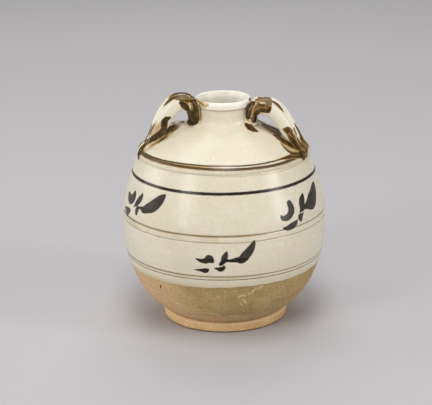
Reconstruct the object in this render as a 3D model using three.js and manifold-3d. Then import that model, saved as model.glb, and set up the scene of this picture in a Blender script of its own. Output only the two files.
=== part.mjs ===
// Two-handled stoneware jar, thrown in sections, with a turned foot and two handles
// that are each laid up from three rolled strands of clay.
// Millimetres, +Z up. The origin is the centre of the foot's resting face, +X towards
// the right handle, and -Y towards the front.
import * as THREE from 'three';
import { mergeVertices } from 'three/addons/utils/BufferGeometryUtils.js';
import Module from 'manifold-3d';

const wasm = await Module();
wasm.setup();

// Heights of the thrown sections, where one is luted to the next
const footTop = 8;
const bellySeam = 72;
const ridgeBase = 132.6;
const ridgeTop = 137.6;
const neckBase = 158.2;
const lipBase = 169.8;
const rimTop = 176;

// Radii that the outline passes through
const footRadius = 47.5;
const shoulderEdge = 62.7;
const neckRadius = 20.6;
const lipRadius = 22.1;
const boreRadius = 17.3;

// The belly's outer wall, radius against height
const wallHeights = [8, 12, 17.6, 28.2, 38.7, 52.8, 66.9, 81, 95, 109, 123, 132.6, 140];
const wallRadii = [46.8, 52.8, 59.2, 67.4, 72.3, 76.9, 79.2, 79.4, 78.3, 74.7, 70, 66.5, 63.6];
const wallCurve = new THREE.CubicInterpolant(wallHeights, wallRadii, 1);

// Thickness of the wall and floor, and the cut lines round the belly
const bellyWall = 4.6;
const lowerWall = 5.8;
const floorTop = 13.5;
const lowerLines = [54.1, 56.8];
const upperLines = [84.1, 89.1];
const lineDepth = 0.5;
const lineWidth = 1.2;

// Fineness of the turned and rolled surfaces, and the clearance where clay meets clay
const facets = 48;
const strandSides = 12;
const strandSteps = 20;
const tongueSteps = 8;
const padSteps = 12;
const clearance = 0.3;

const finishes = {
  glaze: new THREE.MeshStandardMaterial({ color: 0xe9e2cb, roughness: 0.22, metalness: 0 }),
  rim: new THREE.MeshStandardMaterial({ color: 0xf0ebdc, roughness: 0.2, metalness: 0 }),
  ridge: new THREE.MeshStandardMaterial({ color: 0xd9cdaa, roughness: 0.25, metalness: 0 }),
  biscuit: new THREE.MeshStandardMaterial({ color: 0xa98c5c, roughness: 0.8, metalness: 0 }),
  foot: new THREE.MeshStandardMaterial({ color: 0xc4a272, roughness: 0.85, metalness: 0 }),
  strand: new THREE.MeshStandardMaterial({ color: 0xc9bb98, roughness: 0.25, metalness: 0 }),
  iron: new THREE.MeshStandardMaterial({ color: 0x3f2c16, roughness: 0.25, metalness: 0 }),
};

const jar = new THREE.Group();

function addPart(name, geometry, finish) {
  const part = new THREE.Mesh(geometry, finish);
  part.name = name;
  jar.add(part);
}

// Points of an outline, in the plane of radius and height

const at = (radius, height) => new THREE.Vector2(radius, height);

const wallRadius = (height) => wallCurve.evaluate(height)[0];

const onWall = (height) => at(wallRadius(height), height);

function insideWall(height, thickness) {
  const run = wallRadius(height + 0.5) - wallRadius(height - 0.5);
  const inward = at(-1, run).setLength(thickness);
  return onWall(height).add(inward);
}

function cutLine(height) {
  const half = lineWidth / 2;
  return [onWall(height - half), at(wallRadius(height) - lineDepth, height), onWall(height + half)];
}

// A curve through a few points of an outline, sampled evenly
const curved = (points, steps) => new THREE.SplineCurve(points).getPoints(steps);

// Closed solids from geometry: only positions, with the shared corners merged

function welded(geometry) {
  geometry.deleteAttribute('normal');
  geometry.deleteAttribute('uv');
  const merged = mergeVertices(geometry, 1e-4);
  const corners = merged.index.array;
  const kept = [];
  for (let i = 0; i < corners.length; i += 3) {
    const [a, b, c] = corners.slice(i, i + 3);
    if (a !== b && b !== c && c !== a) kept.push(a, b, c);
  }
  merged.setIndex(kept);
  return signedVolume(merged) < 0 ? turnedInsideOut(merged) : merged;
}

function signedVolume(geometry) {
  const place = geometry.getAttribute('position');
  const corners = geometry.index.array;
  const [a, b, c] = [new THREE.Vector3(), new THREE.Vector3(), new THREE.Vector3()];
  let volume = 0;
  for (let i = 0; i < corners.length; i += 3) {
    a.fromBufferAttribute(place, corners[i]);
    b.fromBufferAttribute(place, corners[i + 1]);
    c.fromBufferAttribute(place, corners[i + 2]);
    volume += a.dot(b.cross(c)) / 6;
  }
  return volume;
}

function turnedInsideOut(geometry) {
  geometry.setIndex(Array.from(geometry.index.array).reverse());
  return geometry;
}

// A profile spun round the jar's axis
function thrown(points) {
  const lathe = new THREE.LatheGeometry(points, facets);
  lathe.rotateX(Math.PI / 2);
  return welded(lathe);
}

const thrownRing = (points) => thrown([...points, points[0]]);

// Rings of points skinned into one closed body, with a fan over each end
function lofted(rings) {
  const sides = rings[0].length;
  const places = rings.flat();
  const corners = [];
  for (let ring = 0; ring < rings.length - 1; ring++) {
    for (let side = 0; side < sides; side++) {
      const a = ring * sides + side;
      const b = ring * sides + ((side + 1) % sides);
      corners.push(a, b, a + sides, b, b + sides, a + sides);
    }
  }
  const last = (rings.length - 1) * sides;
  for (let side = 1; side < sides - 1; side++) {
    corners.push(0, side + 1, side, last, last + side, last + side + 1);
  }
  const body = new THREE.BufferGeometry().setFromPoints(places);
  body.setIndex(corners);
  return welded(body);
}

// Cuts, which leave the clearance that touching clay pieces keep

function toManifold(geometry) {
  const vertProperties = new Float32Array(geometry.getAttribute('position').array);
  const triVerts = new Uint32Array(geometry.index.array);
  return new wasm.Manifold(new wasm.Mesh({ numProp: 3, vertProperties, triVerts }));
}

function fromManifold(solid) {
  const mesh = solid.getMesh();
  const body = new THREE.BufferGeometry();
  body.setAttribute('position', new THREE.BufferAttribute(mesh.vertProperties, 3));
  body.setIndex(new THREE.BufferAttribute(mesh.triVerts, 1));
  return body;
}

const cutBy = (geometry, solid) => fromManifold(toManifold(geometry).subtract(solid));

// The turned foot: a ring to stand on round a shallow recess, under the jar's base
function footRing() {
  const recess = 4.2;
  return thrown([
    at(0, recess),
    at(35.5, recess),
    at(37.6, recess - 1),
    at(38.6, 0),
    at(footRadius - 1, 0),
    at(footRadius, 0.9),
    at(footRadius + 0.2, footTop - 1.2),
    at(footRadius - 0.5, footTop - 0.2),
    at(wallRadius(footTop), footTop),
    at(0, footTop),
  ]);
}

// The lower bowl: floor and swelling wall up to the belly's seam
function lowerBody() {
  const outside = [8, 10, 13, 18, 25, 35, 46].map(onWall);
  const inside = [64, 50, 38, 27].map((height) => insideWall(height, lowerWall));
  return thrown([
    at(0, footTop),
    ...outside,
    ...lowerLines.flatMap(cutLine),
    onWall(64),
    onWall(bellySeam),
    at(wallRadius(bellySeam) - bellyWall, bellySeam),
    ...inside,
    at(50, 17.5),
    at(43, floorTop + 0.4),
    at(0, floorTop),
  ]);
}

// The upper bowl, thrown upside down and luted on at the belly, drawing in to the ridge
function upperBody() {
  const inside = [122, 108, 95, 82].map((height) => insideWall(height, bellyWall));
  return thrownRing([
    onWall(bellySeam),
    onWall(79),
    ...upperLines.flatMap(cutLine),
    ...[97, 106, 116, 125, ridgeBase].map(onWall),
    at(wallRadius(ridgeBase) - bellyWall, ridgeBase),
    ...inside,
    at(wallRadius(bellySeam) - bellyWall, bellySeam),
  ]);
}

// The corner between belly and shoulder, with a raised cord between two cut lines
function shoulderRidge() {
  const corner = wallRadius(ridgeBase);
  return thrownRing([
    at(corner, ridgeBase),
    at(corner + 0.5, ridgeBase + 0.8),
    at(corner + 0.6, ridgeBase + 2.2),
    at(corner, ridgeBase + 3.2),
    at(corner - 1.3, ridgeBase + 3.9),
    at(shoulderEdge + 1.8, ridgeTop),
    at(56.4, ridgeTop),
    at(60.6, ridgeBase + 2.6),
    at(corner - bellyWall, ridgeBase),
  ]);
}

// The shoulder, a shallow cone that turns up into the neck
function shoulder() {
  const edge = at(shoulderEdge + 1.8, ridgeTop);
  const outside = curved([at(shoulderEdge, 139.3), at(42, 149.1), at(26.5, 155.8)], 4);
  const fillet = [at(23.4, 157.1), at(neckRadius + 1.2, neckBase)];
  const inside = [at(boreRadius, neckBase), at(boreRadius + 1.2, 154.2), at(40, 145.6)];
  return thrownRing([edge, ...outside, ...fillet, ...inside, at(56.4, ridgeTop)]);
}

// The short neck, hardly waisted, standing on the shoulder
function neck() {
  return thrownRing([
    at(neckRadius + 1.2, neckBase),
    at(neckRadius + 0.3, neckBase + 2),
    at(neckRadius, neckBase + 6),
    at(neckRadius + 0.2, lipBase - 1.4),
    at(neckRadius + 0.1, lipBase),
    at(boreRadius, lipBase),
    at(boreRadius, neckBase),
  ]);
}

// The lip, rolled outwards and left a little thicker than the neck's wall
function rolledLip() {
  const middle = (lipBase + rimTop) / 2;
  const outside = curved([at(lipRadius - 0.5, lipBase + 0.5), at(lipRadius, middle), at(20.6, rimTop)], 6);
  return thrownRing([
    at(neckRadius + 0.1, lipBase),
    ...outside,
    at(19.7, rimTop - 0.5),
    at(19.2, rimTop - 1.8),
    at(17.9, lipBase + 1.6),
    at(boreRadius, lipBase),
  ]);
}

// The jar's outside grown by the clearance, to cut what is luted onto it
function jarToCutWith() {
  const grown = (points) => points.map((point) => at(point.x + clearance, point.y));
  return toManifold(thrown([
    at(0, 60),
    ...grown([60, 80, 95, 109, 118, 125, 131].map(onWall)),
    ...grown([at(67.2, ridgeBase + 0.8), at(67.2, ridgeBase + 2.2), at(66.5, ridgeBase + 3.4)]),
    at(shoulderEdge + 2.1, ridgeTop + 0.2),
    at(shoulderEdge + 0.2, 139.6),
    at(42, 149.5),
    at(24, 157.4),
    ...grown([at(neckRadius + 1.2, neckBase + 0.2), at(neckRadius + 0.3, neckBase + 2)]),
    ...grown([at(neckRadius + 0.2, 165), at(neckRadius + 0.3, lipBase), at(21.8, lipBase + 0.4)]),
    ...grown([at(lipRadius, lipBase + 1.4), at(lipRadius, 174.6), at(21.4, rimTop + 0.1)]),
    at(0, rimTop + 2),
  ]));
}

// Handles. A strap runs from the neck over a finger gap to the shoulder ridge. Each row is
// a place on its middle line: radius, height, thickness, strand pitch, turn to the front.
const leftStrap = [
  [25.0, 158.4, 7.4, 7.4, 18],
  [25.0, 164.8, 8.0, 7.3, 16],
  [26.8, 170.8, 9.6, 7.1, 13],
  [31.6, 174.0, 11.0, 7.0, 10],
  [37.2, 172.6, 11.0, 7.0, 9],
  [42.6, 168.0, 10.6, 6.8, 9],
  [47.2, 160.9, 10.6, 6.4, 9],
  [51.0, 152.8, 10.2, 5.6, 9],
  [55.2, 145.6, 8.2, 4.4, 9],
  [60.0, 141.0, 4.4, 3.4, 9],
];
const rightStrap = [
  [24.6, 158.4, 6.8, 7.4, 18],
  [24.4, 164.0, 7.2, 7.3, 16],
  [26.8, 168.6, 9.0, 7.1, 14],
  [32.0, 170.4, 10.4, 7.0, 13],
  [37.6, 169.4, 11.0, 7.0, 13],
  [43.4, 165.6, 11.2, 6.8, 13],
  [48.8, 158.8, 11.0, 6.4, 14],
  [52.9, 151.6, 10.2, 5.6, 16],
  [56.6, 145.4, 8.2, 4.4, 18],
  [60.4, 141.0, 4.4, 3.4, 20],
];

// Both tails: radius, height, thickness and width down the tongue
const tongueRows = [
  [61.0, 140.2, 4.6, 10.4],
  [63.6, 138.2, 4.4, 9.2],
  [65.4, 135.9, 3.8, 7.8],
  [66.5, 133.6, 3.2, 6.0],
  [66.9, 131.8, 2.0, 3.8],
];

const strapCurve = (rows) => new THREE.CatmullRomCurve3(rows.map(([r, z]) => new THREE.Vector3(r, 0, z)));

const valueCurve = (rows, column) => new THREE.SplineCurve(rows.map((row, i) => at(i, row[column])));

// A place round the jar: radius, height, and an angle from +X towards the front
function around(radius, height, angle) {
  return new THREE.Vector3(radius * Math.cos(angle), -radius * Math.sin(angle), height);
}

// One oval section of a strand, square to its run: size.x is the thickness, size.y the width
function strandSection(centre, along, size, angle) {
  const sideways = new THREE.Vector3(-Math.sin(angle), -Math.cos(angle), 0);
  const ring = [];
  for (let side = 0; side < strandSides; side++) {
    const turn = (side / strandSides) * 2 * Math.PI;
    const out = (size.x / 2) * Math.cos(turn);
    const lateral = (size.y / 2) * Math.sin(turn);
    const place = around(centre.x - out * along.z, centre.z + out * along.x, angle);
    ring.push(place.addScaledVector(sideways, lateral));
  }
  return ring;
}

// A strand lies side steps away from the strap's middle: -1 at the back, 0, or 1 in front
function strand(rows, side) {
  const path = strapCurve(rows);
  const thickness = valueCurve(rows, 2);
  const pitch = valueCurve(rows, 3);
  const turn = valueCurve(rows, 4);
  const rings = [];
  for (let step = 0; step <= strandSteps; step++) {
    const t = step / strandSteps;
    const centre = path.getPoint(t);
    const spacing = pitch.getPoint(t).y;
    const angle = THREE.MathUtils.degToRad(turn.getPoint(t).y) + (side * spacing) / centre.x;
    const size = at(thickness.getPoint(t).y, spacing - clearance);
    rings.push(strandSection(centre, path.getTangent(t), size, angle));
  }
  return lofted(rings);
}

// The wad of clay pressed round the neck under the strands' ends
function rootPad(turn, grown) {
  const middle = at(24.6, 156.8);
  const reach = 4.4;
  const rise = 2.6;
  const halfSpan = 27;
  const rings = [];
  for (let step = 0; step <= padSteps; step++) {
    const part = (step / padSteps) * 2 - 1;
    const angle = THREE.MathUtils.degToRad(turn + part * halfSpan);
    const size = Math.sqrt(1.04 - part * part);
    rings.push(padSection(middle, reach * size + grown, rise * size + grown, angle));
  }
  return lofted(rings);
}

function padSection(middle, halfWidth, halfHeight, angle) {
  const ring = [];
  for (let side = 0; side < strandSides; side++) {
    const turn = (side / strandSides) * 2 * Math.PI;
    const radius = middle.x + halfWidth * Math.cos(turn);
    const height = middle.y + halfHeight * Math.sin(turn);
    ring.push(around(radius, height, angle));
  }
  return ring;
}

// The tongue that the strands are pinched into, folded down over the shoulder ridge and
// drawn a little further round the jar as it goes down
function tailTongue(turn, drift) {
  const path = strapCurve(tongueRows);
  const thickness = valueCurve(tongueRows, 2);
  const width = valueCurve(tongueRows, 3);
  const rings = [];
  for (let step = 0; step <= tongueSteps; step++) {
    const t = step / tongueSteps;
    const angle = THREE.MathUtils.degToRad(turn + drift * t);
    const size = at(thickness.getPoint(t).y, width.getPoint(t).y);
    rings.push(strandSection(path.getPoint(t), path.getTangent(t), size, angle));
  }
  return lofted(rings);
}

// The left handle is made on the +X side as the right one is, and then mirrored across
const mirrored = (geometry) => turnedInsideOut(geometry.scale(-1, 1, 1));
const asMade = (geometry) => geometry;

function addHandle(label, rows, drift, place) {
  const jarSolid = jarToCutWith();
  const firstTurn = rows[0][4];
  const lastTurn = rows.at(-1)[4];
  const seats = jarSolid.add(toManifold(rootPad(firstTurn, clearance)));
  const strands = { back: -1, middle: 0, front: 1 };
  for (const [where, side] of Object.entries(strands)) {
    const rolled = cutBy(strand(rows, side), seats);
    addPart(`${label}_handle_${where}_strand`, place(rolled), finishes.strand);
  }
  const pad = cutBy(rootPad(firstTurn, 0), jarSolid);
  const tail = cutBy(tailTongue(lastTurn, drift), jarSolid);
  addPart(`${label}_handle_root_pad`, place(pad), finishes.iron);
  addPart(`${label}_handle_tail`, place(tail), finishes.iron);
}

addPart('foot_ring', footRing(), finishes.foot);
addPart('lower_body', lowerBody(), finishes.biscuit);
addPart('upper_body', upperBody(), finishes.glaze);
addPart('shoulder_ridge', shoulderRidge(), finishes.ridge);
addPart('shoulder', shoulder(), finishes.glaze);
addPart('neck', neck(), finishes.glaze);
addPart('rolled_lip', rolledLip(), finishes.rim);
addHandle('left', leftStrap, 2, mirrored);
addHandle('right', rightStrap, 6, asMade);

export default jar;
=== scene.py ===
# Two-handled stoneware jar: the thrown pieces, the stranded handles, the glaze and the painting
import math

import bmesh
import bpy
import numpy as np
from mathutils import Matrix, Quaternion, Vector, noise


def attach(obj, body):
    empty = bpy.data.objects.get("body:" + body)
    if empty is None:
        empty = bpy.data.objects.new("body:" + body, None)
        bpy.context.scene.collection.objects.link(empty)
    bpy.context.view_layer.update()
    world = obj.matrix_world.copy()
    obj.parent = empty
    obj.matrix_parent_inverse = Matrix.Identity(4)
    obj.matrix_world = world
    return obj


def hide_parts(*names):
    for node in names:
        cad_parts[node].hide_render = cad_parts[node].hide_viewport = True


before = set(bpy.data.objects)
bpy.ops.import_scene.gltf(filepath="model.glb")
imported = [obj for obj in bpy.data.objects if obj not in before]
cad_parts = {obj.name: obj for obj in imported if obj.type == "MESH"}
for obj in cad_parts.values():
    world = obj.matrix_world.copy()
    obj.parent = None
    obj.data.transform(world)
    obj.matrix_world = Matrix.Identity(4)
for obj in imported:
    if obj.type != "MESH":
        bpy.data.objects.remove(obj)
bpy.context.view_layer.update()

mm = 0.001
farAway = 99.0     # mm, where no painting is near

# Wall of the jar as the solids have it, in mm
wall = {
    "heights": [8, 12, 17.6, 28.2, 38.7, 52.8, 66.9, 81, 95, 109, 123, 132.6, 140],
    "radii": [46.8, 52.8, 59.2, 67.4, 72.3, 76.9, 79.2, 79.4, 78.3, 74.7, 70, 66.5, 63.6],
    "upperThickness": 4.6,
    "lowerThickness": 5.8,
    "turns": 400,          # steps round the wheel on the large pieces
    "footTurns": 256,
    "neckTurns": 192,
    "footTop": 8.0,
    "bellySeam": 72.0,
    "ridgeBase": 132.6,
    "ridgeTop": 137.6,
    "neckBase": 158.2,
    "lipBase": 169.8,
    "neck": 20.5,          # radius outside and inside the neck
    "bore": 17.3,
}


def hermite(xs, ys, x):
    # cubic through the points, with each slope taken across its neighbours
    xs, ys, x = np.asarray(xs, float), np.asarray(ys, float), np.asarray(x, float)
    slope = np.gradient(ys, xs)
    k = np.clip(np.searchsorted(xs, x) - 1, 0, len(xs) - 2)
    h = xs[k + 1] - xs[k]
    t = np.clip((x - xs[k]) / h, 0, 1)
    a, b = (1 + 2 * t) * (1 - t) ** 2, t * (1 - t) ** 2
    c, d = t * t * (3 - 2 * t), t * t * (t - 1)
    return a * ys[k] + b * h * slope[k] + c * ys[k + 1] + d * h * slope[k + 1]


def wallRadius(height):
    return hermite(wall["heights"], wall["radii"], height)


def rounded(points, spacing):
    # a smooth curve through a few points, with a point at each spacing along it
    points = np.asarray(points, float)
    gaps = np.r_[0, np.cumsum(np.hypot(*np.diff(points, axis=0).T))]
    count = max(2, int(round(gaps[-1] / spacing)) + 1)
    along = np.linspace(0, gaps[-1], count)
    return [tuple(p) for p in np.stack([hermite(gaps, points[:, i], along) for i in (0, 1)], 1)]


def straight(start, end, spacing):
    count = max(2, int(round(math.dist(start, end) / spacing)) + 1)
    return [tuple(p) for p in np.linspace(start, end, count)]


def wallRun(low, high, spacing, cuts=()):
    # the outer wall from low to high, with cut lines round it: (height, depth, half width)
    heights = np.linspace(low, high, int(round((high - low) / spacing)) + 1)
    radii = wallRadius(heights)
    for height, depth, half in cuts:
        radii = radii - depth * np.exp(-(((heights - height) / half) ** 2))
    return [(r, z) for r, z in zip(radii, heights)]


def innerRun(high, low, thickness, spacing):
    # the inner wall from high to low, square to the outer one
    points = []
    for height in np.linspace(high, low, int(round((high - low) / spacing)) + 1):
        run = wallRadius(height + 0.5) - wallRadius(height - 0.5)
        size = math.hypot(1, run)
        points.append((wallRadius(height) - thickness / size, height + thickness * run / size))
    return points


def alone(piece):
    bpy.ops.object.select_all(action="DESELECT")
    piece.select_set(True)
    bpy.context.view_layer.objects.active = piece


glazed = {"jar": [], "left": [], "right": []}     # pieces that may carry iron marks


def finishPiece(piece, nodes, material, smoothAngle=40):
    alone(piece)
    bpy.ops.object.shade_smooth_by_angle(angle=math.radians(smoothAngle))
    piece.data.materials.clear()
    piece.data.materials.append(material)
    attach(piece, "root")
    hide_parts(*nodes)
    print("made", piece.name, len(piece.data.polygons), "faces")


def throwPiece(name, outline, turns):
    # one point is drawn out along the outline, spun round the axis and closed
    bpy.ops.object.select_all(action="DESELECT")
    bpy.ops.mesh.primitive_plane_add(size=mm)
    piece = bpy.context.object
    piece.name = piece.data.name = name
    bpy.ops.object.mode_set(mode="EDIT")
    bpy.ops.mesh.select_all(action="SELECT")
    bpy.ops.mesh.merge(type="CENTER")
    bpy.ops.mesh.select_all(action="SELECT")
    bpy.ops.transform.translate(value=(outline[0][0] * mm, 0, outline[0][1] * mm))
    for (r0, z0), (r1, z1) in zip(outline, outline[1:]):
        step = ((r1 - r0) * mm, 0, (z1 - z0) * mm)
        bpy.ops.mesh.extrude_region_move(TRANSFORM_OT_translate={"value": step})
    bpy.ops.mesh.select_all(action="SELECT")
    bpy.ops.mesh.spin(steps=turns, angle=2 * math.pi, center=(0, 0, 0), axis=(0, 0, 1))
    bpy.ops.mesh.select_all(action="SELECT")
    bpy.ops.mesh.remove_doubles(threshold=0.00002)
    bpy.ops.mesh.normals_make_consistent(inside=False)
    bpy.ops.object.mode_set(mode="OBJECT")
    return piece


def places(piece):
    spots = np.empty(len(piece.data.vertices) * 3)
    piece.data.vertices.foreach_get("co", spots)
    return spots.reshape(-1, 3) / mm


def putBack(piece, spots):
    piece.data.vertices.foreach_set("co", (spots * mm).ravel())
    piece.data.update()


def mark(piece, name, values):
    attribute = piece.data.attributes.new(name, "FLOAT", "POINT")
    attribute.data.foreach_set("value", np.asarray(values, np.float32))


def noiseAt(spots, scale):
    return np.array([noise.noise(Vector(p)) for p in np.asarray(spots) * scale])


relief = {
    "ringHeight": 0.055,   # mm, throwing rings
    "ringPitch": 0.42,     # rings are this coarse against the height
    "swell": 0.28,         # mm, slow swelling of the wall
    "swellScale": 0.022,
    "footFade": 10.0,      # mm up from the foot in which it grows
    "edgeFade": 6.0,       # mm out from the least radius in which it grows
}

glazeLine = {
    "middle": 47.0,        # mm, where the glaze stops
    "tilt": 1.1,           # it hangs lower on the left
    "wave": 1.0,
    "ripple": 0.45,
    "thickness": 0.28,     # mm of slip and glaze over the clay
}


def bearing(spots):
    # angle round the jar from the front, positive to the right
    return np.arctan2(spots[:, 0], -spots[:, 1])


def glazeHeight(angle):
    ring = np.stack([np.cos(angle), np.sin(angle), 0 * angle], 1)
    return (glazeLine["middle"] + glazeLine["tilt"] * np.sin(angle + 0.3)
            + glazeLine["wave"] * noiseAt(ring, 2.2) + glazeLine["ripple"] * noiseAt(ring, 9.0))


def unevenWall(piece, least=36.0):
    spots = places(piece)
    radius = np.hypot(spots[:, 0], spots[:, 1])
    outward = spots[:, :2] / np.maximum(radius, 1e-6)[:, None]
    ringSpot = np.column_stack([outward * 0.5, spots[:, 2] * relief["ringPitch"]])
    rise = relief["ringHeight"] * noiseAt(ringSpot, 1.0)
    rise += relief["swell"] * noiseAt(spots, relief["swellScale"])
    hold = np.clip((spots[:, 2] - wall["footTop"]) / relief["footFade"], 0, 1)
    hold *= np.clip((radius - least) / relief["edgeFade"], 0, 1)
    spots[:, :2] += outward * (rise * hold)[:, None]
    putBack(piece, spots)


# A stroke is a few spots along its middle: across, height, half width, all in mm on the wall
sprigs = {
    "centre": [
        [(22.9, 84.8, 0.7), (22.0, 82.1, 1.8), (20.2, 78.8, 2.8), (17.5, 75.4, 3.4), (14.8, 72.2, 3.5),
         (13.0, 70.4, 2.8), (10.3, 70.9, 2.2), (7.1, 70.5, 1.6), (3.9, 70.3, 1.1), (1.6, 70.1, 0.9)],
        [(1.9, 77.8, 0.5), (1.4, 75.5, 1.5), (0.3, 72.6, 2.3), (-0.5, 70.0, 1.8), (-2.1, 68.2, 1.4),
         (-3.3, 66.6, 0.6)],
        [(-21.8, 71.6, 0.3), (-19.0, 70.4, 1.1), (-15.6, 69.9, 1.9), (-12.6, 70.6, 2.4), (-11.2, 72.2, 2.8),
         (-9.4, 70.4, 2.0), (-8.0, 69.4, 0.7)],
        [(-22.9, 62.3, 0.2), (-19.3, 62.2, 0.9), (-15.9, 62.1, 1.6), (-13.9, 62.0, 2.0), (-12.3, 62.8, 1.2)],
        [(-7.4, 64.2, 0.3), (-5.0, 63.9, 1.1), (-2.6, 63.4, 1.9), (-0.5, 64.4, 1.4), (0.2, 66.2, 0.5)],
    ],
    "left": [
        [(26.2, 115.3, 0.9), (23.8, 112.4, 3.0), (21.0, 109.0, 4.2), (17.2, 105.5, 4.6), (11.5, 102.5, 3.6),
         (7.2, 100.6, 2.5), (3.0, 100.9, 1.1), (-0.4, 100.2, 1.0)],
        [(-0.2, 100.0, 1.6), (-1.4, 98.0, 2.4), (-1.6, 95.9, 1.8), (-1.5, 94.6, 0.6)],
        [(1.8, 111.8, 0.5), (1.7, 109.8, 1.6), (0.4, 107.4, 2.5), (-1.8, 104.6, 2.6), (-4.3, 102.0, 1.6),
         (-6.8, 99.3, 0.5)],
        [(-23.6, 106.0, 0.8), (-20.8, 104.2, 2.6), (-17.0, 102.8, 3.6), (-13.6, 102.6, 3.2)],
        [(-9.8, 109.2, 1.7), (-9.9, 107.0, 2.9), (-11.2, 104.8, 3.6), (-13.8, 103.2, 3.4)],
        [(-27.5, 93.8, 0.4), (-23.0, 92.8, 2.0), (-19.0, 92.6, 3.2), (-15.4, 93.8, 2.4), (-12.6, 95.0, 0.8)],
        [(-19.4, 92.0, 3.0), (-19.8, 90.2, 1.8), (-20.0, 88.6, 0.5)],
    ],
    "right": [
        [(23.6, 114.0, 0.5), (21.1, 111.4, 3.1), (18.4, 108.4, 4.8), (15.4, 105.6, 5.7), (11.4, 103.0, 6.3),
         (8.2, 102.0, 4.9), (4.4, 101.6, 3.0), (0.3, 100.8, 1.4)],
        [(1.3, 111.2, 0.4), (0.3, 109.0, 2.0), (-1.3, 106.8, 3.1), (-2.5, 104.1, 3.2), (-2.7, 101.6, 2.9),
         (-4.5, 100.4, 1.6), (-5.7, 99.5, 1.1), (-6.8, 98.2, 0.4)],
        [(-2.4, 97.4, 0.3), (-5.1, 96.2, 1.4), (-7.0, 95.4, 2.4), (-6.8, 93.4, 1.7), (-6.9, 92.4, 0.6)],
        [(-15.4, 107.6, 2.3), (-14.9, 105.2, 2.9), (-14.8, 102.6, 3.0), (-16.3, 100.2, 2.8),
         (-19.0, 98.2, 2.5), (-22.2, 97.6, 2.1), (-24.8, 98.2, 1.6), (-25.7, 100.6, 0.5)],
        [(-24.9, 90.6, 0.7), (-21.6, 89.8, 1.8), (-17.7, 90.4, 2.4), (-14.4, 91.2, 2.5), (-12.2, 92.5, 1.5),
         (-10.7, 94.0, 0.3)],
    ],
}

# how far a sprig reaches to each side, and its lowest and highest place
sprigRoom = {"aside": 36, "centre": (55, 90), "left": (84, 120), "right": (84, 120)}

# each sprig on the jar: design, bearing in degrees, height moved by
sprigPlaces = [
    ("left", -58, 0), ("right", 52, 0), ("centre", 176, 31),
    ("centre", -0.65, 0), ("right", 118, -30.5), ("left", -121, -30.5),
]


def along(stroke, steps=6):
    # the stroke's spots joined by a smooth line
    stroke = np.asarray(stroke, float)
    gaps = np.r_[0, np.cumsum(np.hypot(*np.diff(stroke[:, :2], axis=0).T))]
    fine = np.linspace(0, gaps[-1], steps * (len(stroke) - 1) + 1)
    return np.stack([hermite(gaps, stroke[:, i], fine) for i in range(stroke.shape[1])], 1)


def strokeDistance(spots, chain):
    # distance to the painted edge, negative inside, for a chain of places and half widths
    best = np.full(len(spots), farAway)
    for a, b in zip(chain, chain[1:]):
        run = b[:-1] - a[:-1]
        size = max(float(run @ run), 1e-9)
        t = np.clip((spots - a[:-1]) @ run / size, 0, 1)
        gap = np.linalg.norm(spots - a[:-1] - t[:, None] * run, axis=1) - (a[-1] + t * (b[-1] - a[-1]))
        best = np.minimum(best, gap)
    return best


def paintSprigs(piece):
    spots = places(piece)
    angle, radius = bearing(spots), np.hypot(spots[:, 0], spots[:, 1])
    outside = radius > wallRadius(spots[:, 2]) - 2
    best = np.full(len(spots), farAway)
    for design, degrees, lift in sprigPlaces:
        turn = (angle - math.radians(degrees) + math.pi) % (2 * math.pi) - math.pi
        flat = np.stack([turn * radius, spots[:, 2] - lift], 1)
        low, high = sprigRoom[design]
        near = outside & (np.abs(flat[:, 0]) < sprigRoom["aside"]) & (flat[:, 1] > low) & (flat[:, 1] < high)
        if not near.any():
            continue
        for stroke in sprigs[design]:
            best[near] = np.minimum(best[near], strokeDistance(flat[near], along(stroke)))
    mark(piece, "brush", best)


# the photo's frame in pixels, and mm: a pixel at the jar's axis, and how far back a mark may lie
photo = {"width": 432, "height": 405, "pixel": 0.78616, "back": 40}


def photoRay(x, y):
    # from the camera through a pixel of the photo
    camera = bpy.context.scene.camera
    half = camera.data.sensor_width / camera.data.lens / 2
    across, up = 2 * x / photo["width"] - 1, (photo["height"] - 2 * y) / photo["width"]
    way = Vector((across * half, up * half, -1))
    return camera.matrix_world.translation, camera.matrix_world.to_quaternion() @ way


def reach(ray, pieces):
    # how far a ray goes to the first of some pieces, in lengths of its own
    eye, way = ray
    hits = [piece.ray_cast(eye, way) for piece in pieces]
    return min(((hit[1] - eye).length / way.length for hit in hits if hit[0]), default=math.inf)


def depthAt(ray, pieces, before):
    # the same, or none where other pieces stand before them or it falls on the back
    eye, way = ray
    depth = reach(ray, pieces)
    seen = depth < reach(ray, before)
    return depth if seen and (eye + way * depth).y < photo["back"] * mm else None


def chainOn(chain, pieces, before=()):
    # a chain of pixels as places on some pieces; one that misses them lies as deep as its nearest neighbour
    rays = [photoRay(x, y) for x, y, _ in chain]
    depths = [depthAt(ray, pieces, before) for ray in rays]
    hits = [i for i, depth in enumerate(depths) if depth is not None]
    spots = []
    for i, ((eye, way), (_, _, half)) in enumerate(zip(rays, chain)):
        depth = depths[min(hits, key=lambda j: abs(j - i))]
        spots.append([*(eye + way * depth) / mm, half * photo["pixel"]])
    return np.array(spots)


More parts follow.
